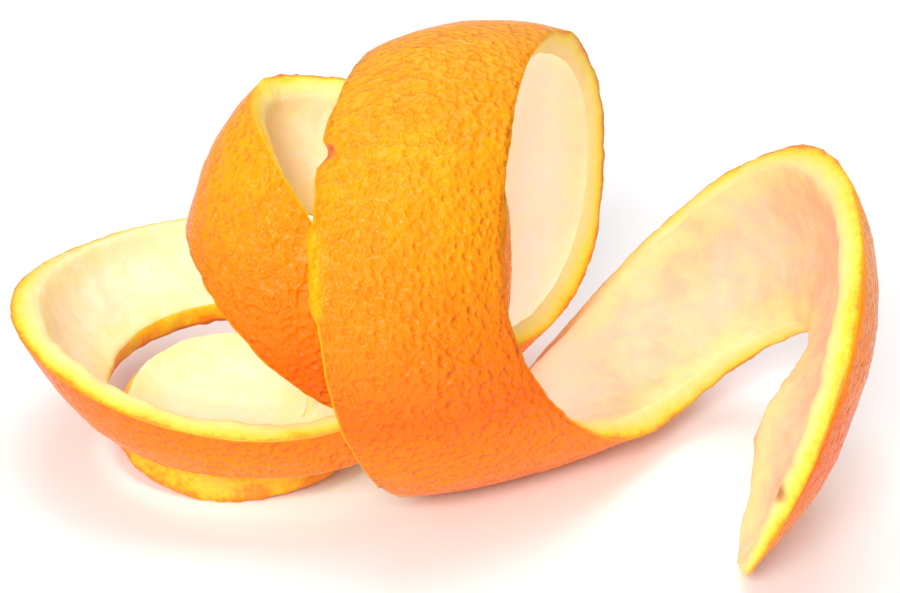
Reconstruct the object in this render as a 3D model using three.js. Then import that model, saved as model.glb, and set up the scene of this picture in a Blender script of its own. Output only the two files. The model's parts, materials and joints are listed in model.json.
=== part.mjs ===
// A strip of orange peel, cut off the fruit in one spiral and left lying on a table.
//
// The strip starts at a round cap, the end of the fruit, and winds through four loose turns:
//   cap       a shallow dish that lies on the table
//   bowl      the first free turn, leaning outwards over the cap
//   shoulder  the second turn, tipped on its side against the third
//   hoop      the third turn, the largest, standing upright on the table
//   curl      the last turn, opening towards the front and ending in a tip on the table
//
// Frame: millimetres, +X along the row of turns, +Z up, front at -Y, table at z = 0.
// A place along the strip is its winding angle in degrees. At 0 and every 360 after it, the
// strip passes the front of its turn. One place across the strip runs from -1, the edge
// nearer the cap, to 1, the edge nearer the tip. Depth runs from 0, the skin, to the pith.

import * as THREE from 'three';

// ---- the peel ----
const PEEL_THICKNESS = 4.7;
const CROWN_RADIUS = 32;
const CUT_SLANT = 0.6;
const FLAT_SPOT = 1.2;

// ---- the cap: a dish off the end of the fruit ----
const CAP_RADIUS = 46;
const CAP_ARC = 14;
const CAP_CENTRE = new THREE.Vector2(-32, 6);
const CAP_HEADING = -85;
const CAP_RISE = 73;
const SPIRAL_PITCH = 13;

// ---- the winding: where the knife goes in, comes free a turn later, and runs out ----
const KNIFE_START = -290;
const KNIFE_FREE = KNIFE_START + 360;
const TIP = 1468;
const TIP_TAPER = 110;
const TIP_THICKNESS = 1.8;
const TIP_THINNING = 70;

// ---- the slit beside the cap: it gapes along the ball, then the strip leaves the ball ----
const SLIT_OPENING = 4;
const SLIT_OPEN_BY = 130;
const PARTING_START = 70;
const PARTING_END = 150;

// ---- the bowl's edge over the cap: the cut wandered there, and left the strip wider ----
const FLARE = 6;
const FLARE_ANGLE = 275;
const FLARE_REACH = 90;

// ---- the turns, one station each half turn ----
// centre of the turn, heading and rise of its axis, radius to the middle of the strip,
// lean of the strip out of the axis, width of the strip
const STATIONS = [
  { centre: [-47, 27, -2], heading: 40, rise: 35, radius: 24, lean: -80, width: 2 },
  { centre: [-37, 12, 18], heading: 175, rise: 65, radius: 39, lean: -45, width: 22 },
  { centre: [-18, 12, 41], heading: -85, rise: 45, radius: 37, lean: 20, width: 11 },
  { centre: [-15, 9, 47], heading: -65, rise: 85, radius: 25, lean: -15, width: 25 },
  { centre: [0, 24, 45], heading: -50, rise: 40, radius: 35, lean: 40, width: 21 },
  { centre: [-5, 26, 46], heading: -45, rise: 5, radius: 37, lean: -30, width: 24 },
  { centre: [7, 5, 33.5], heading: -15, rise: -20, radius: 27, lean: 30, width: 32 },
  { centre: [62, 9, 15.5], heading: 30, rise: -45, radius: 29, lean: 55, width: 31 },
  { centre: [27, -9, 17], heading: 70, rise: -5, radius: 33, lean: 10, width: 53 },
];
const STATION_STEP = 180;

// ---- fineness of the faceted solid ----
const ANGLE_STEP = 6;
const COLUMNS = 5;
const DISC_RINGS = 4;

const radians = THREE.MathUtils.degToRad;
const clamp = THREE.MathUtils.clamp;

function direction(heading, rise) {
  const flat = Math.cos(radians(rise));
  return new THREE.Vector3(
    flat * Math.cos(radians(heading)),
    flat * Math.sin(radians(heading)),
    Math.sin(radians(rise)),
  );
}

// A smooth curve through one value of every station.
function along(values, angle) {
  const last = values.length - 1;
  const place = angle / STATION_STEP;
  const from = clamp(Math.floor(place), 0, last - 1);
  const t = place - from;
  const p1 = values[from];
  const p2 = values[from + 1];
  const p0 = from > 0 ? values[from - 1] : 2 * p1 - p2;
  const p3 = from + 2 <= last ? values[from + 2] : 2 * p2 - p1;
  const bend = (2 * p0 - 5 * p1 + 4 * p2 - p3) * t * t;
  const twist = (3 * p1 - p0 - 3 * p2 + p3) * t * t * t;
  return 0.5 * (2 * p1 + (p2 - p0) * t + bend + twist);
}

const axes = STATIONS.map((s) => direction(s.heading, s.rise));
const track = {
  x: STATIONS.map((s) => s.centre[0]),
  y: STATIONS.map((s) => s.centre[1]),
  z: STATIONS.map((s) => s.centre[2]),
  axisX: axes.map((a) => a.x),
  axisY: axes.map((a) => a.y),
  axisZ: axes.map((a) => a.z),
  radius: STATIONS.map((s) => s.radius),
  lean: STATIONS.map((s) => s.lean),
  width: STATIONS.map((s) => s.width),
};

// The front of a turn about an axis, and the side a quarter turn further on.
function spokes(axis) {
  const front = new THREE.Vector3(0, -1, 0).projectOnPlane(axis).normalize();
  const side = new THREE.Vector3().crossVectors(axis, front);
  return { front, side };
}

function spoke(axis, angle) {
  const { front, side } = spokes(axis);
  return front.multiplyScalar(Math.cos(radians(angle))).addScaledVector(side, Math.sin(radians(angle)));
}

// The middle of the strip on its turn, with the turn's axis and outward spoke.
function middle(angle) {
  const axis = new THREE.Vector3(
    along(track.axisX, angle),
    along(track.axisY, angle),
    along(track.axisZ, angle),
  ).normalize();
  const outward = spoke(axis, angle);
  const place = new THREE.Vector3(
    along(track.x, angle),
    along(track.y, angle),
    along(track.z, angle),
  ).addScaledVector(outward, along(track.radius, angle));
  return { place, axis, outward };
}

// The strip narrows to a round point at its tip.
function tipTaper(angle) {
  const left = clamp((TIP - angle) / TIP_TAPER, 0, 1);
  return Math.sqrt(Math.max(1 - (1 - left) ** 2, 0.0004));
}

// How far the cut faces lean in at a depth. There is no lean where the knife goes in.
function slant(angle, depth, width) {
  const fromSlit = Math.min(Math.abs(angle - KNIFE_START), Math.abs(angle - KNIFE_FREE)) / 12;
  return Math.min((CUT_SLANT * depth) / PEEL_THICKNESS, width * 0.45) * Math.min(fromSlit, 1);
}

// How much wider the bowl is on its side nearer the cap.
function flare(angle) {
  const away = Math.min(Math.abs(angle - FLARE_ANGLE) / FLARE_REACH, 1);
  return (FLARE * (1 + Math.cos(Math.PI * away))) / 2;
}

// The free strip: it follows its turn, and is crowned across like the fruit it came off.
function freePoint(angle, across, depth) {
  const { place, axis, outward } = middle(angle);
  const forward = middle(angle + 1).place.sub(middle(angle - 1).place).normalize();
  const lean = radians(along(track.lean, angle));
  const sideways = axis.multiplyScalar(Math.cos(lean)).addScaledVector(outward, -Math.sin(lean));
  sideways.projectOnPlane(forward).normalize();
  const skinward = new THREE.Vector3().crossVectors(forward, sideways);
  const width = along(track.width, angle) * tipTaper(angle);
  const half = width / 2 - slant(angle, depth, width);
  const bend = (across * half - (flare(angle) * (1 - across)) / 2) / CROWN_RADIUS;
  const radius = CROWN_RADIUS - depth;
  return place
    .addScaledVector(skinward, radius * Math.cos(bend) - CROWN_RADIUS)
    .addScaledVector(sideways, radius * Math.sin(bend));
}

// The cap is a piece of a ball. Arcs are measured over its skin from its middle.
const capAxis = direction(CAP_HEADING, CAP_RISE);
const capBall = new THREE.Vector3(CAP_CENTRE.x, CAP_CENTRE.y, CAP_RADIUS);

function capPoint(angle, arc, depth) {
  const bend = arc / CAP_RADIUS;
  const radius = CAP_RADIUS - depth;
  return capBall
    .clone()
    .addScaledVector(spoke(capAxis, angle), radius * Math.sin(bend))
    .addScaledVector(capAxis, -radius * Math.cos(bend));
}

function knifeArc(angle) {
  return CAP_ARC + (SPIRAL_PITCH * Math.max(angle - KNIFE_START, 0)) / 360;
}

function weldedPoint(angle, across, depth) {
  const open = SLIT_OPENING * clamp((angle - KNIFE_FREE) / (SLIT_OPEN_BY - KNIFE_FREE), 0, 1);
  const outer = knifeArc(angle) + open;
  const inner = angle <= KNIFE_FREE ? CAP_ARC : knifeArc(angle - 360) + open;
  const lean = slant(angle, depth, outer - inner);
  const from = angle < KNIFE_FREE ? inner : inner + lean;
  const to = outer - lean;
  return capPoint(angle, from + ((across + 1) / 2) * (to - from), depth);
}

// The knife runs shallow as it comes out, so the tip is thinner than the rest.
function thinned(angle, depth) {
  const thin = THREE.MathUtils.smoothstep(angle, TIP - TIP_THINNING, TIP);
  return depth * THREE.MathUtils.lerp(1, TIP_THICKNESS / PEEL_THICKNESS, thin);
}

// The strip parts smoothly from the ball of the cap.
function stripPoint(angle, across, depth) {
  const parted = THREE.MathUtils.smoothstep(angle, PARTING_START, PARTING_END);
  const point = parted < 1 ? weldedPoint(angle, across, depth) : new THREE.Vector3();
  return parted > 0 ? point.lerp(freePoint(angle, across, thinned(angle, depth)), parted) : point;
}

// ---- the closed solid ----
const positions = [];
const triangles = [];

function addVertex(point) {
  positions.push(point.x, point.y, point.z);
  return positions.length / 3 - 1;
}

function addQuad(a, b, c, d) {
  triangles.push(a, b, c, a, c, d);
}

const steps = Math.round((TIP - KNIFE_START) / ANGLE_STEP);
const firstTurn = Math.round(360 / ANGLE_STEP);

// One face of the peel, skin or pith: a disc, and the strip wound round it. The strip starts
// with no width at the slit, shares the disc's rim for one turn and then runs free.
function faceGrid(depth) {
  const disc = [];
  const hub = addVertex(capPoint(0, 0, depth));
  for (let ring = 1; ring <= DISC_RINGS; ring += 1) {
    const row = [];
    for (let i = 0; i < firstTurn; i += 1) {
      const angle = KNIFE_START + i * ANGLE_STEP;
      row.push(addVertex(capPoint(angle, (CAP_ARC * ring) / DISC_RINGS, depth)));
    }
    disc.push(row);
  }
  const rim = disc[DISC_RINGS - 1];
  const strip = [];
  for (let i = 0; i <= steps; i += 1) {
    const angle = KNIFE_START + i * ANGLE_STEP;
    const row = [];
    for (let column = 0; column <= COLUMNS; column += 1) {
      if (i === 0 || (column === 0 && i <= firstTurn)) {
        row.push(rim[i % firstTurn]);
      } else {
        row.push(addVertex(stripPoint(angle, (2 * column) / COLUMNS - 1, depth)));
      }
    }
    strip.push(row);
  }
  return { hub, disc, strip };
}

// Skin faces look outwards. Pith faces are wound the other way round.
function fillFace({ hub, disc, strip }, skin) {
  const quad = skin ? (a, b, c, d) => addQuad(a, b, c, d) : (a, b, c, d) => addQuad(d, c, b, a);
  const triangle = skin ? (a, b, c) => triangles.push(a, b, c) : (a, b, c) => triangles.push(c, b, a);
  for (let i = 0; i < firstTurn; i += 1) {
    const next = (i + 1) % firstTurn;
    triangle(hub, disc[0][next], disc[0][i]);
    for (let ring = 1; ring < DISC_RINGS; ring += 1) {
      quad(disc[ring - 1][i], disc[ring - 1][next], disc[ring][next], disc[ring][i]);
    }
  }
  for (let i = 0; i < steps; i += 1) {
    for (let column = 0; column < COLUMNS; column += 1) {
      const a = strip[i][column];
      const b = strip[i + 1][column];
      const c = strip[i + 1][column + 1];
      const d = strip[i][column + 1];
      if (i === 0) {
        triangle(a, b, c);
      } else {
        quad(a, b, c, d);
      }
    }
  }
}

// The outline of a face, once round: out along the edge nearer the tip, across the tip and
// back along the edge nearer the cap to the slit.
function outline({ strip }) {
  const outer = strip.map((row) => row[COLUMNS]);
  const end = strip[steps].slice(1, COLUMNS).reverse();
  const inner = strip.slice(firstTurn + 1).map((row) => row[0]).reverse();
  return [...outer, ...end, ...inner];
}

const skinFace = faceGrid(0);
const pithFace = faceGrid(PEEL_THICKNESS);
fillFace(skinFace, true);
fillFace(pithFace, false);
const skinEdge = outline(skinFace);
const pithEdge = outline(pithFace);
skinEdge.forEach((corner, i) => {
  const next = (i + 1) % skinEdge.length;
  addQuad(corner, skinEdge[next], pithEdge[next], pithEdge[i]);
});

// The peel's own weight presses small flat spots where it rests, and the table is z = 0.
for (let i = 2; i < positions.length; i += 3) {
  positions[i] = Math.max(positions[i] - FLAT_SPOT, 0);
}

const geometry = new THREE.BufferGeometry();
geometry.setAttribute('position', new THREE.Float32BufferAttribute(positions, 3));
geometry.setIndex(triangles);
geometry.computeVertexNormals();

// The middle of the peel's bounding box stands over the origin.
const boxCentre = new THREE.Box3().setFromArray(positions).getCenter(new THREE.Vector3());
geometry.translate(-boxCentre.x, -boxCentre.y, 0);

const peel = new THREE.Mesh(
  geometry,
  new THREE.MeshStandardMaterial({ color: 0xf58a0c, roughness: 0.45, metalness: 0 }),
);
peel.name = 'orange_peel';

const orangePeel = new THREE.Group();
orangePeel.add(peel);

export default orangePeel;
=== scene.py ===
# %% [markdown]
# # A spiral strip of orange peel
#
# This lesson dresses one strip of orange peel that was cut off its fruit in a single spiral.
# The CAD solid already has the right windings, widths and thickness, but it is faceted and it
# has one plain colour. A real peel shows three quite different surfaces: the dimpled orange
# zest outside, the soft white pith inside, and the cut between them, which runs from
# saturated yellow at the zest to white at the pith. Most of the work is to tell these
# three apart on one skin of faces, and then to give each of them its own relief and colour.

import json
import math

import bpy
import numpy as np
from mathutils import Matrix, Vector
from mathutils.kdtree import KDTree

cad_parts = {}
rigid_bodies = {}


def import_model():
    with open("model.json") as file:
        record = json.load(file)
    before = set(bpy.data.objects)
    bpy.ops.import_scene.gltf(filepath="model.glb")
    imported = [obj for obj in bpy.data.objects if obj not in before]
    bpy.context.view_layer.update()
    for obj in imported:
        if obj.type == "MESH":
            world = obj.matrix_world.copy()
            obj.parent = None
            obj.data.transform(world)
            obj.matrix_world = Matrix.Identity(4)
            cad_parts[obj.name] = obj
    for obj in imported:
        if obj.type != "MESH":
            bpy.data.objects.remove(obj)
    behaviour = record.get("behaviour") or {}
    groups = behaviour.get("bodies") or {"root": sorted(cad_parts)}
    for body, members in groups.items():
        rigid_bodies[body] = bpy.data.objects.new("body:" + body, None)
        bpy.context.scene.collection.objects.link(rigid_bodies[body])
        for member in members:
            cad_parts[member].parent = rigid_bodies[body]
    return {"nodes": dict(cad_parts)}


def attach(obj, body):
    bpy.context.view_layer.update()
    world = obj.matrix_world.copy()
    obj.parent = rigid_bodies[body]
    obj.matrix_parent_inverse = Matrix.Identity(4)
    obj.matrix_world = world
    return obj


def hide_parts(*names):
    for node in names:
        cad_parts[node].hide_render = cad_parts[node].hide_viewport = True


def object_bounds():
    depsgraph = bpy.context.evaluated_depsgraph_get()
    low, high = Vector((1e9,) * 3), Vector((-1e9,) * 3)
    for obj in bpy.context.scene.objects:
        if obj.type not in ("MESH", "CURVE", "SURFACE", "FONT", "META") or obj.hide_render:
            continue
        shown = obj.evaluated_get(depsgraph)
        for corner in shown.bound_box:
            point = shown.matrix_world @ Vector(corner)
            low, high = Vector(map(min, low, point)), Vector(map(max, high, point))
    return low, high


MM = 0.001

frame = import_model()
cad_low, cad_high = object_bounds()
cad_size = cad_high - cad_low
print("CAD box in mm:", [round(v / MM, 1) for v in cad_size])

# %% [markdown]
# ## A mesh to work on
#
# The CAD node stays as it is, so the peel starts as a copy of its mesh. The copy is made of
# loose triangles: its doubles are merged and its triangles joined to quads, because quads
# subdivide into an even skin. The other way, remeshing with voxels, would round off the thin
# edges that make a cut peel look cut.

# %% Select and apply
def only(piece):
    """Makes one object the selected and active one."""
    bpy.ops.object.select_all(action="DESELECT")
    piece.select_set(True)
    bpy.context.view_layer.objects.active = piece


def apply_modifier(piece, kind, **settings):
    """Adds a modifier with these settings and applies it at once."""
    only(piece)
    modifier = piece.modifiers.new(kind.lower(), kind)
    for name, value in settings.items():
        setattr(modifier, name, value)
    bpy.ops.object.modifier_apply(modifier=modifier.name)


# %% Copy the CAD mesh and make quads of it
SHARP_ANGLE = math.radians(48)
QUAD_SHAPE = math.radians(70)
SAME_PLACE = 0.01 * MM

node = frame["nodes"]["orange_peel"]
peel = bpy.data.objects.new("peel", node.data.copy())
bpy.context.scene.collection.objects.link(peel)
peel.data.materials.clear()

only(peel)
bpy.ops.mesh.customdata_custom_splitnormals_clear()
bpy.ops.object.mode_set(mode="EDIT")
bpy.ops.mesh.select_mode(type="EDGE")
bpy.ops.mesh.select_all(action="SELECT")
bpy.ops.mesh.remove_doubles(threshold=SAME_PLACE)
bpy.ops.mesh.tris_convert_to_quads(face_threshold=SHARP_ANGLE, shape_threshold=QUAD_SHAPE)
bpy.ops.mesh.select_all(action="DESELECT")
bpy.ops.mesh.edges_select_sharp(sharpness=SHARP_ANGLE)
bpy.ops.mesh.mark_seam(clear=False)
bpy.ops.mesh.select_all(action="DESELECT")
bpy.ops.object.mode_set(mode="OBJECT")
print("quads and triangles:", len(peel.data.polygons))

# %% [markdown]
# ## Zest, cut and pith
#
# The sharp edges of the solid are exactly the lines where the knife went, so they close off
# three patches of faces. Selecting what is linked up to those seams gives each patch in one
# step. The cap lies on the table with its zest down, so its lowest face belongs to the
# zest, and the face just above it, looking up, belongs to the pith. What is left is the cut.

# %% Sort the faces into three materials
LAYERS = ("zest", "cut", "pith")
ZEST, CUT, PITH = range(3)
UP = Vector((0, 0, 1))
INTO_PITH = 4 * MM


def patch(piece, start):
    """The faces linked to one face without crossing a seam."""
    only(piece)
    for polygon in piece.data.polygons:
        polygon.select = polygon.index == start
    bpy.ops.object.mode_set(mode="EDIT")
    bpy.ops.mesh.select_mode(type="FACE")
    bpy.ops.mesh.select_linked(delimit={"SEAM"})
    bpy.ops.object.mode_set(mode="OBJECT")
    return {polygon.index for polygon in piece.data.polygons if polygon.select}


def nearest_face(piece, place, facing):
    """The face closest to a place, among those that look the given way."""
    looking = [f for f in piece.data.polygons if f.normal.dot(facing) > 0.7]
    return min(looking, key=lambda f: (f.center - place).length).index


for name in LAYERS:
    peel.data.materials.append(bpy.data.materials.new(name))

bottom = min(peel.data.vertices, key=lambda v: (round(v.co.z / MM, 1), v.co.x)).co
zest_faces = patch(peel, nearest_face(peel, bottom, -UP))
pith_faces = patch(peel, nearest_face(peel, bottom + UP * INTO_PITH, UP))
for polygon in peel.data.polygons:
    if polygon.index in zest_faces:
        polygon.material_index = ZEST
    elif polygon.index in pith_faces:
        polygon.material_index = PITH
    else:
        polygon.material_index = CUT
for index, label in enumerate(LAYERS):
    area = sum(f.area for f in peel.data.polygons if f.material_index == index)
    print(label, "faces cover", round(area * 1e4, 1), "cm2")

# %% [markdown]
# ## Depth, creases and a fine skin
#
# Each vertex gets its depth under the zest: 0 on the outside and 1 on the pith. Subdivision
# blends the value over the cut faces, so the cut can be coloured by depth later. The same
# step needs to know which edges stay crisp. A knife leaves the zest's edge sharp, while the
# spongy pith curls over it, so the two rims of the cut get different creases. The slit beside
# the cap is hardly open at its narrow end, and its walls there are given the pale colour of
# pith as painted light that lightens their shade; a second attribute marks them.

# %% Write the depth and the creases
ZEST_CREASE = 0.85
PITH_CREASE = 0.3
FINE_LEVELS = 2
SLIT_END = Vector((-20.4, 8.0, 4.5)) * MM
SLIT_REACH = 10 * MM

mesh = peel.data
depth = np.ones(len(mesh.vertices), np.float32)
edge_sides = {}
for polygon in mesh.polygons:
    for key in polygon.edge_keys:
        edge_sides.setdefault(key, set()).add(polygon.material_index)
    if polygon.material_index == ZEST:
        for v in polygon.vertices:
            depth[v] = 0
# Painted light: the slit's walls take the pale pith colour to lighten their shade.
in_slit = np.array([(v.co - SLIT_END).length < SLIT_REACH for v in mesh.vertices])
depth[in_slit] = 1
mesh.attributes.new("slit", "FLOAT", "POINT").data.foreach_set("value", in_slit.astype(np.float32))
mesh.attributes.new("depth", "FLOAT", "POINT").data.foreach_set("value", depth)

crease = np.zeros(len(mesh.edges), np.float32)
for edge in mesh.edges:
    sides = edge_sides[tuple(sorted(edge.vertices))]
    if sides == {ZEST, CUT}:
        crease[edge.index] = ZEST_CREASE
    elif sides == {CUT, PITH}:
        crease[edge.index] = PITH_CREASE
mesh.attributes.new("crease_edge", "FLOAT", "EDGE").data.foreach_set("value", crease)

apply_modifier(peel, "SUBSURF", levels=FINE_LEVELS, render_levels=FINE_LEVELS)
print("fine skin:", len(peel.data.polygons), "faces")

# %% [markdown]
# ## Where the knife ran
#
# Several effects fade out with distance from the cut: the zest pales just beside it and the
# pith turns yellow there. The distance is measured once, to the nearest point of the
# rim between zest and cut, and kept as an attribute. At the end of the fruit the coloured
# layer is thickest, so another attribute marks the cut round the cap, short of the slit.
# The three surfaces also become vertex groups, so that each one can be displaced on its own.

# %% Measure the distances and make the groups
CAP_MIDDLE = Vector((-33.7, 9.1, 0.8)) * MM
CAP_REACH = 32 * MM
CAP_FADE = 4 * MM
SLIT_FADE = 6 * MM

mesh = peel.data
touching = [set() for _ in mesh.vertices]
for polygon in mesh.polygons:
    for v in polygon.vertices:
        touching[v].add(polygon.material_index)

rim = [v.index for v in mesh.vertices if {ZEST, CUT} <= touching[v.index]]
tree = KDTree(len(rim))
for index in rim:
    tree.insert(mesh.vertices[index].co, index)
tree.balance()
from_rim = [tree.find(v.co)[2] / MM for v in mesh.vertices]
mesh.attributes.new("from_rim", "FLOAT", "POINT").data.foreach_set("value", from_rim)

from_middle = np.array([(v.co - CAP_MIDDLE).length for v in mesh.vertices])
from_slit = np.array([(v.co - SLIT_END).length for v in mesh.vertices])
near_cap = np.clip((CAP_REACH - from_middle) / CAP_FADE, 0, 1)
thick_zest = near_cap * np.clip((from_slit - SLIT_REACH) / SLIT_FADE, 0, 1)
mesh.attributes.new("thick_zest", "FLOAT", "POINT").data.foreach_set("value", thick_zest)

for index, label in enumerate(LAYERS):
    members = [v.index for v in mesh.vertices if index in touching[v.index]]
    peel.vertex_groups.new(name=label).add(members, 1.0, "REPLACE")
print("rim points:", len(rim), " furthest from the rim:", round(max(from_rim), 1), "mm")

# %% [markdown]
# ## Relief
#
# Peel is never even. The whole strip swells and sinks a little, the pith is lumpy where its
# fibres tore off the fruit, and the knife leaves a slightly ragged cut. Displace modifiers
# with cloud textures do all of this in a few steps, one for each size of lump. The fine
# dimples of the zest are smaller than the faces, so they come later, in the material.

# %% Displace each surface by its own lumps
def lumps(label, size, height, group=""):
    """Pushes the surface in and out in soft lumps of a size and height in millimetres."""
    cloud = bpy.data.textures.new(label, "CLOUDS")
    cloud.noise_scale = size * MM
    cloud.noise_depth = 2
    apply_modifier(
        peel,
        "DISPLACE",
        texture=cloud,
        texture_coords="LOCAL",
        strength=height * MM,
        mid_level=0.5,
        vertex_group=group,
    )


lumps("swelling", size=16, height=1.0)
lumps("zest bumps", size=2.2, height=0.3, group="zest")
lumps("pith lumps", size=7, height=1.1, group="pith")
lumps("pith grain", size=2.2, height=0.4, group="pith")
lumps("ragged cut", size=2.8, height=0.7, group="cut")

# %% [markdown]
# ## Marks of the knife
#
# The knife wandered on the hoop's left edge. It bit a small nick there, and further down it
# left a sliver of yellow zest standing out. The cut near the tip has a brown bruise. Each mark
# is a place with a reach: it fades out with distance, moves the skin a little where it is a
# change of shape, and is kept as an attribute so that the materials can colour it.

# %% Nick the edge, raise the sliver and keep the marks
NICK = Vector((-16.5, -13.0, 61.4)) * MM
NICK_REACH = 2.6 * MM
NICK_DEPTH = 1.5 * MM
SLIVER_TOP = Vector((-17.3, -24.3, 52.5)) * MM
SLIVER_FOOT = Vector((-16.8, -30.4, 43.5)) * MM
SLIVER_REACH = 1.7 * MM
SLIVER_RISE = 0.9 * MM
BRUISE = Vector((51.2, -45.0, 21.0)) * MM
BRUISE_REACH = 1.8 * MM


def fading(distance, reach):
    """1 at no distance and 0 at the reach, both in metres."""
    return max(1 - (distance / reach) ** 2, 0.0)


def off_line(place, start, end):
    """The distance of a place from the line between two others."""
    share = (place - start).dot(end - start) / (end - start).length_squared
    return (place - start.lerp(end, min(max(share, 0.0), 1.0))).length


marks = {"nick": [], "sliver": [], "bruise": []}
for v in peel.data.vertices:
    marks["nick"].append(fading((v.co - NICK).length, NICK_REACH))
    marks["sliver"].append(fading(off_line(v.co, SLIVER_TOP, SLIVER_FOOT), SLIVER_REACH))
    marks["bruise"].append(fading((v.co - BRUISE).length, BRUISE_REACH))
for name, values in marks.items():
    peel.data.attributes.new(name, "FLOAT", "POINT").data.foreach_set("value", values)
    print(name, "touches", sum(value > 0 for value in values), "vertices")
for v, nick, sliver in zip(peel.data.vertices, marks["nick"], marks["sliver"]):
    v.co.x += NICK_DEPTH * nick - SLIVER_RISE * sliver

# %% [markdown]
# ## Resting spots
#
# The swelling has pushed a few places under the table. Lifting just those up to the table
# keeps the small flat spots on which the peel rests. Smooth shading then joins the faces.

# %% Press the resting spots flat
lowest = min(v.co.z for v in peel.data.vertices)
for v in peel.data.vertices:
    v.co.z = max(v.co.z, 0.0)
only(peel)
bpy.ops.object.shade_smooth()
print("lowest point before it was pressed flat:", round(lowest / MM, 2), "mm")

# %% [markdown]
# ## Shader helpers
#
# A small helper adds a node and links its inputs in one line, so that a material reads
# from top to bottom like a recipe. The other helpers are the few steps that every material
# here repeats. Colours are written as they look on a screen, from 0 to 255.

# %% A short way to write nodes
def add(tree, kind, out=0, inputs=None, **settings):
    """Adds a node, sets or links its inputs and gives back one of its outputs."""
    item = tree.nodes.new("ShaderNode" + kind)
    for name, value in settings.items():
        setattr(item, name, value)
    for name, value in (inputs or {}).items():
        if isinstance(value, bpy.types.NodeSocket):
            tree.links.new(value, item.inputs[name])
        else:
            item.inputs[name].default_value = value
    return item.outputs[out]


def noise(tree, where, scale, detail=2.0, roughness=0.5, distortion=0.0):
    """Soft noise from 0 to 1. The scale is in lumps per metre."""
    settings = {
        "Vector": where,
        "Scale": scale,
        "Detail": detail,
        "Roughness": roughness,
        "Distortion": distortion,
    }
    return add(tree, "TexNoise", 0, settings)


def spread(tree, value, low, high, to_low=0.0, to_high=1.0):
    """Maps a value from one span to another and stops at both ends."""
    inputs = {"Value": value, "From Min": low, "From Max": high, "To Min": to_low, "To Max": to_high}
    return add(tree, "MapRange", 0, inputs, interpolation_type="SMOOTHSTEP")


def blend(tree, share, first, second):
    """Mixes two colours by a share from 0 to 1."""
    item = tree.nodes.new("ShaderNodeMix")
    item.data_type = "RGBA"
    for socket, value in ((item.inputs[0], share), (item.inputs[6], first), (item.inputs[7], second)):
        if isinstance(value, bpy.types.NodeSocket):
            tree.links.new(value, socket)
        else:
            socket.default_value = value
    return item.outputs[2]


def maths(tree, operation, first, second=0.0):
    """One sum on two values."""
    return add(tree, "Math", 0, {0: first, 1: second}, operation=operation)


def times(tree, value, factor):
    """A value multiplied by another."""
    return maths(tree, "MULTIPLY", value, factor)


def nudge(tree, value, pattern, amount):
    """A value moved up and down by a pattern from 0 to 1."""
    return maths(tree, "ADD", value, times(tree, maths(tree, "SUBTRACT", pattern, 0.5), amount))


def kept(tree, name):
    """A value that was kept on the mesh as an attribute."""
    return add(tree, "Attribute", "Fac", attribute_name=name)


def colour(red, green, blue):
    """A colour written as it looks on a screen, turned into light."""
    channels = [c / 255 for c in (red, green, blue)]
    linear = [c / 12.92 if c <= 0.04045 else ((c + 0.055) / 1.055) ** 2.4 for c in channels]
    return (*linear, 1.0)


def ramp(tree, value, stops):
    """A colour ramp with stops as pairs of place and colour."""
    item = tree.nodes.new("ShaderNodeValToRGB")
    tree.links.new(value, item.inputs[0])
    elements = item.color_ramp.elements
    while len(elements) < len(stops):
        elements.new(0.5)
    for element, (place, shade) in zip(elements, stops):
        element.position = place
        element.color = shade
    return item.outputs[0]


# %% [markdown]
# ## Mottling
#
# Both zest and pith are mottled at two sizes, large blotches and small flecks. An effect that
# more than one material uses becomes a node group, and this one puts out only two values.

# %% Node group: mottling at two sizes
def mottle_group():
    """Blotches at a large and a small size, each put out as a value from 0 to 1."""
    group = bpy.data.node_groups.new("mottle", "ShaderNodeTree")
    group.interface.new_socket("Blotch Size", in_out="INPUT", socket_type="NodeSocketFloat")
    group.interface.new_socket("Fleck Size", in_out="INPUT", socket_type="NodeSocketFloat")
    group.interface.new_socket("Blotches", in_out="OUTPUT", socket_type="NodeSocketFloat")
    group.interface.new_socket("Flecks", in_out="OUTPUT", socket_type="NodeSocketFloat")
    entry = group.nodes.new("NodeGroupInput")
    result = group.nodes.new("NodeGroupOutput")
    where = add(group, "TexCoord", "Object")
    blotches = noise(group, where, entry.outputs["Blotch Size"], detail=3.0, roughness=0.55)
    flecks = noise(group, where, entry.outputs["Fleck Size"], detail=2.0, distortion=0.6)
    group.links.new(spread(group, blotches, 0.38, 0.62), result.inputs["Blotches"])
    group.links.new(spread(group, flecks, 0.35, 0.65), result.inputs["Flecks"])


def mottle(tree, blotch, fleck):
    """Places the group. Both sizes are in millimetres."""
    item = tree.nodes.new("ShaderNodeGroup")
    item.node_tree = bpy.data.node_groups["mottle"]
    item.inputs["Blotch Size"].default_value = 1 / (blotch * MM)
    item.inputs["Fleck Size"].default_value = 1 / (fleck * MM)
    return item.outputs["Blotches"], item.outputs["Flecks"]


mottle_group()
print("node groups:", [g.name for g in bpy.data.node_groups])

# %% [markdown]
# ## Starting a material
#
# All three materials start alike: an output, a Principled BSDF and its plain values. What
# varies over the surface is linked in afterwards. The relief and the gloss are linked the
# same way each time, so they share two helpers.

# %% Start a material
def start_material(name, roughness, **constants):
    """Empties a material's nodes and puts in a Principled BSDF with its plain values."""
    material = bpy.data.materials[name]
    material.use_nodes = True
    tree = material.node_tree
    tree.nodes.clear()
    output = tree.nodes.new("ShaderNodeOutputMaterial")
    shader = tree.nodes.new("ShaderNodeBsdfPrincipled")
    shader.inputs["Roughness"].default_value = roughness
    for socket, value in constants.items():
        shader.inputs[socket.replace("_", " ")].default_value = value
    tree.links.new(shader.outputs[0], output.inputs["Surface"])
    return tree, shader


def link_relief(tree, shader, height, strength, distance):
    """Fine relief in the light only. The distance is in millimetres."""
    inputs = {"Height": height, "Strength": strength, "Distance": distance * MM}
    tree.links.new(add(tree, "Bump", 0, inputs), shader.inputs["Normal"])


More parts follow.
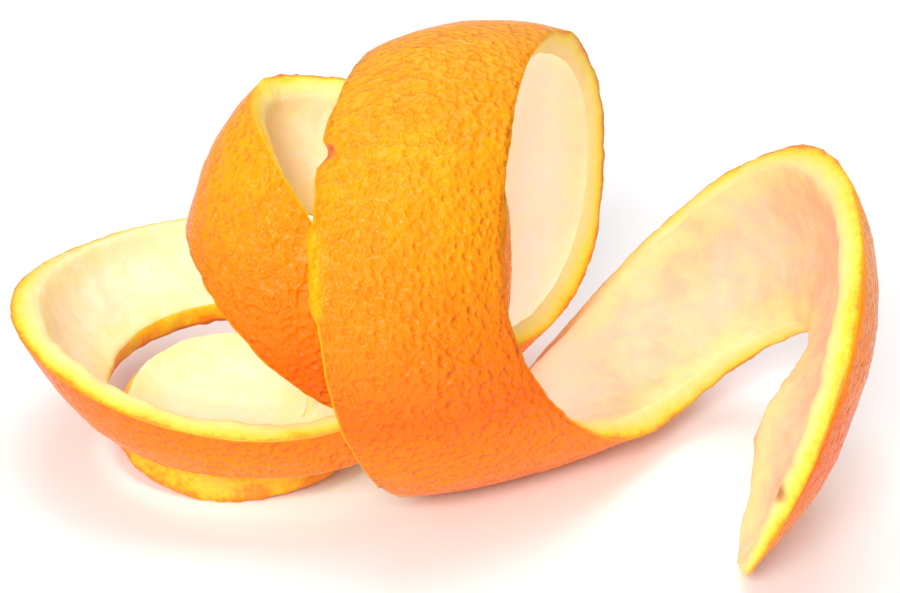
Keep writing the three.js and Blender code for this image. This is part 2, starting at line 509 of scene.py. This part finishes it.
def link_gloss(tree, shader, pattern, low, high):
    """Roughness that follows a pattern, between two values."""
    tree.links.new(spread(tree, pattern, 0.3, 0.7, low, high), shader.inputs["Roughness"])


# %% [markdown]
# ## Zest
#
# The skin of an orange is waxy and deep yellow-orange, and it is covered in oil glands: pits
# a millimetre or so apart, each a soft round dimple, crowded in an uneven net. A Voronoi
# texture gives such a net. Its cells sit in a warped copy of the object's coordinates,
# so that the dimples differ in size. The pits are painted a little deeper in colour than the
# ridges between them, as painted shade in the hollows, and larger lumps carry them. The colour
# also holds painted light by height: more golden on the upper turns, where more light falls,
# deepest about 20 mm above the table, and a little paler again at the table, where light
# bounces up from it. Right beside the cut it pales to yellow, and the relief fades out.

# %% Build the zest material
GLAND_SPACING = 1.3
WOBBLE_SCALE = 260.0
WOBBLE_REACH = 1.4 * MM
TALLEST = 70 * MM
ORANGE = colour(255, 112, 0)
PIT_SHADE_ORANGE = colour(250, 104, 0)
RIM_YELLOW = colour(255, 190, 0)
SLIVER_YELLOW = colour(255, 172, 0)
NICK_RED = colour(240, 112, 52)

tree, zest = start_material("zest", roughness=0.35, Specular_IOR_Level=0.2)
where = add(tree, "TexCoord", "Object")
wobble = add(tree, "TexNoise", 1, {"Vector": where, "Scale": WOBBLE_SCALE, "Detail": 2.0})
offset = add(tree, "VectorMath", 0, {0: wobble, 1: (0.5, 0.5, 0.5)}, operation="SUBTRACT")
shift = add(tree, "VectorMath", 0, {0: offset, "Scale": WOBBLE_REACH}, operation="SCALE")
warped = add(tree, "VectorMath", 0, {0: where, 1: shift}, operation="ADD")
cells = add(
    tree,
    "TexVoronoi",
    0,
    {"Vector": warped, "Scale": 1 / (GLAND_SPACING * MM), "Randomness": 0.85, "Smoothness": 0.4},
    feature="SMOOTH_F1",
)
pit = spread(tree, cells, 0.1, 0.75)
small = noise(tree, where, 680.0, detail=3.0, distortion=0.3)
mounds = noise(tree, where, 420.0, detail=2.0)
blotches, flecks = mottle(tree, blotch=26, fleck=3.2)
painted_light_height = add(tree, "SeparateXYZ", 2, {"Vector": where})
# Painted light: this ramp by height is lighter on the upper turns and next to the table.
ground = ramp(
    tree,
    spread(tree, painted_light_height, 0.0, TALLEST),
    [
        (0.0, colour(255, 144, 0)),
        (0.12, colour(255, 132, 0)),
        (0.28, colour(255, 104, 0)),
        (0.6, colour(255, 136, 0)),
        (0.95, colour(255, 166, 0)),
    ],
)
ground = blend(tree, times(tree, blotches, 0.25), ground, ORANGE)
ground = blend(tree, times(tree, flecks, 0.2), ground, ORANGE)
# Painted shade: the dimples are darkened a little in colour.
pit_shade = maths(tree, "SUBTRACT", 1.0, pit)
ground = blend(tree, times(tree, pit_shade, 0.12), ground, PIT_SHADE_ORANGE)
from_cut = kept(tree, "from_rim")
ground = blend(tree, spread(tree, from_cut, 0.0, 0.5, 0.7, 0.0), ground, RIM_YELLOW)
ground = blend(tree, spread(tree, kept(tree, "sliver"), 0.0, 0.6), ground, SLIVER_YELLOW)
ground = blend(tree, spread(tree, kept(tree, "nick"), 0.1, 0.7), ground, NICK_RED)
tree.links.new(ground, zest.inputs["Base Color"])
height = maths(tree, "ADD", pit, times(tree, small, 2.0))
height = maths(tree, "ADD", height, times(tree, mounds, 1.6))
link_relief(tree, zest, height, spread(tree, from_cut, 0.0, 0.8, 0.05, 0.95), 0.38)
link_gloss(tree, zest, small, 0.2, 0.32)
print("zest nodes:", len(tree.nodes))

# %% [markdown]
# ## The cut
#
# Across its thickness a cut peel goes from orange, in the thin oily layer that the knife
# opens, through a saturated yellow, to the near white of the pith. The depth attribute drives a
# colour ramp. Noise moves the depth a little first, because the oil glands sit in it
# unevenly and the yellow runs into the white in small tongues. Round the cap the depth is
# cut to a fifth, so the thick zest there fills the whole cut. At the narrow end of the slit
# a faint painted glow lightens the shade between the walls.

# %% Build the cut material
BRUISE_BROWN = colour(176, 108, 52)
BLACK = (0.0, 0.0, 0.0, 1.0)
SLIT_PAINTED_GLOW = (0.34, 0.26, 0.17, 1.0)

tree, cut = start_material(
    "cut",
    roughness=0.5,
    Subsurface_Weight=0.2,
    Subsurface_Scale=0.002,
    Emission_Strength=1.0,
)
where = add(tree, "TexCoord", "Object")
depth_in = times(tree, kept(tree, "depth"), spread(tree, kept(tree, "thick_zest"), 0.0, 1.0, 1.0, 0.2))
tongues = noise(tree, where, 1100.0, detail=3.0)
patches = noise(tree, where, 170.0, detail=2.0)
shade = ramp(
    tree,
    nudge(tree, nudge(tree, depth_in, tongues, 0.3), patches, 0.5),
    [
        (0.0, colour(250, 140, 0)),
        (0.1, colour(252, 184, 0)),
        (0.26, colour(250, 212, 50)),
        (0.48, colour(250, 222, 108)),
        (0.85, colour(250, 222, 150)),
    ],
)
shade = blend(tree, spread(tree, kept(tree, "nick"), 0.1, 0.7), shade, NICK_RED)
shade = blend(tree, kept(tree, "bruise"), shade, BRUISE_BROWN)
tree.links.new(shade, cut.inputs["Base Color"])
# Painted light: a faint glow lightens the shade at the narrow end of the slit.
tree.links.new(blend(tree, kept(tree, "slit"), BLACK, SLIT_PAINTED_GLOW), cut.inputs["Emission Color"])
link_relief(tree, cut, noise(tree, where, 1500.0, detail=3.0), 0.5, 0.25)
link_gloss(tree, cut, tongues, 0.42, 0.6)
print("cut nodes:", len(tree.nodes))

# %% [markdown]
# ## Pith
#
# The pith is a soft, matt, warm white: cream over the cap and peach in the curl, so one ramp
# runs along the row. The ramp is whitest in the hoop, partly as painted light that brightens
# the hoop's shaded inside. Where the pith is thin the orange behind it shines through as
# peach-coloured blotches, and beside the cut it is stained yellow by the oil. Its surface is
# a felt of short fibres with small hollows. Inside the hoop a faint painted glow stands in for
# light that soaks through the peel and brightens the shade there.

# %% Build the pith material
HALF_LENGTH = 70 * MM
PEACH = colour(248, 186, 148)
FLECK_YELLOW = colour(252, 222, 146)
STAIN_YELLOW = colour(250, 226, 146)
HOOP_PAINTED_GLOW = (0.26, 0.3, 0.26, 1.0)

tree, pith = start_material(
    "pith",
    roughness=0.62,
    Subsurface_Weight=0.25,
    Subsurface_Scale=0.003,
    Emission_Strength=1.0,
)
where = add(tree, "TexCoord", "Object")
blotches, flecks = mottle(tree, blotch=13, fleck=3.5)
along_row = add(tree, "SeparateXYZ", 0, {"Vector": where})
# Painted light: the whitest stop of this ramp, in the hoop, brightens the hoop's shaded inside.
ground = ramp(
    tree,
    spread(tree, along_row, -HALF_LENGTH, HALF_LENGTH),
    [
        (0.15, colour(250, 232, 198)),
        (0.35, colour(252, 238, 204)),
        (0.55, colour(254, 250, 238)),
        (0.8, colour(250, 200, 172)),
    ],
)
peach = times(tree, blotches, spread(tree, along_row, 22 * MM, 40 * MM, 0.2, 0.85))
ground = blend(tree, peach, ground, PEACH)
ground = blend(tree, times(tree, flecks, 0.35), ground, FLECK_YELLOW)
stain = spread(tree, kept(tree, "from_rim"), 4.5, 9.5, 0.75, 0.0)
uneven = times(tree, stain, spread(tree, noise(tree, where, 200.0), 0.3, 0.7, 0.4, 1.0))
ground = blend(tree, uneven, ground, STAIN_YELLOW)
tree.links.new(ground, pith.inputs["Base Color"])
# Painted light: a faint glow brightens the inside of the hoop.
glow = ramp(
    tree,
    spread(tree, along_row, -10 * MM, 40 * MM),
    [
        (0.1, BLACK),
        (0.35, HOOP_PAINTED_GLOW),
        (0.7, HOOP_PAINTED_GLOW),
        (0.95, BLACK),
    ],
)
tree.links.new(glow, pith.inputs["Emission Color"])
felt = noise(tree, where, 700.0, detail=4.0, roughness=0.6)
dents = noise(tree, where, 240.0, detail=2.0)
link_relief(tree, pith, maths(tree, "ADD", felt, times(tree, dents, 1.5)), 0.45, 0.3)
link_gloss(tree, pith, dents, 0.55, 0.7)
print("pith nodes:", len(tree.nodes))

# %% [markdown]
# ## Onto the frame
#
# The peel takes the place of its CAD node. It is all one body, so it rides on the root.

# %% Hand the peel over to the frame
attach(peel, "root")
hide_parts("orange_peel")
print("triangles:", sum(len(f.vertices) - 2 for f in peel.data.polygons))

# %% [markdown]
# ## Floor
#
# The peel lies on a bright white table in even light. A large plane takes the soft shadow.

# %% Floor
FLOOR_SIZE = 3.0
PAPER_WHITE = (0.95, 0.95, 0.95, 1)

bpy.ops.object.select_all(action="DESELECT")
bpy.ops.mesh.primitive_plane_add(size=FLOOR_SIZE, location=(0, 0, 0))
floor = bpy.context.object
floor.name = "floor"
paper = bpy.data.materials.new("paper")
paper.use_nodes = True
surface = paper.node_tree.nodes["Principled BSDF"]
surface.inputs["Base Color"].default_value = PAPER_WHITE
surface.inputs["Roughness"].default_value = 0.7
floor.data.materials.append(paper)

# %% [markdown]
# ## Light
#
# A soft key from the front, a little to the left, models the dimples and reaches into the
# hoop. A larger one overhead brightens the table, and a white world keeps the shadows pale.

# %% Two soft lights and a white world
WORLD_STRENGTH = 0.5


def soft_light(name, place, size, power):
    """A square area light that looks at the middle of the peel."""
    bpy.ops.object.light_add(type="AREA", location=place)
    light = bpy.context.object
    light.name = name
    light.data.size = size
    light.data.energy = power
    aim = Vector((0, 0, cad_size.z / 2)) - Vector(place)
    light.rotation_euler = aim.to_track_quat("-Z", "Y").to_euler()
    print(name, "light stands", round(aim.length, 2), "m away")


soft_light("key", (-0.2, -0.72, 0.55), 0.35, 6.5)
soft_light("top", (0.0, 0.3, 0.9), 0.6, 4.0)

world = bpy.data.worlds.new("studio")
bpy.context.scene.world = world
world.use_nodes = True
sky = world.node_tree.nodes["Background"]
sky.inputs["Color"].default_value = (1, 1, 1, 1)
sky.inputs["Strength"].default_value = WORLD_STRENGTH

# %% [markdown]
# ## Camera
#
# The camera looks at the front of the row from about a third of a metre, a little above.
# It is shifted slightly, so that the peel sits well in the picture.

# %% Camera
CAMERA_ELEVATION = math.radians(27.8)
CAMERA_DISTANCE = 0.313
LENS = 78.2
AIM = Vector((-0.5, -10.25, 28.8)) * MM
SHIFT = (0.028, 0.043)

bpy.ops.object.camera_add()
camera = bpy.context.object
camera.data.lens = LENS
camera.data.sensor_width = 36
camera.data.shift_x, camera.data.shift_y = SHIFT
camera.data.clip_start = 0.01
away = Vector((0, -math.cos(CAMERA_ELEVATION), math.sin(CAMERA_ELEVATION)))
camera.location = AIM + away * CAMERA_DISTANCE
camera.rotation_euler = (-away).to_track_quat("-Z", "Y").to_euler()
bpy.context.scene.camera = camera
bpy.context.scene.view_settings.view_transform = "Standard"
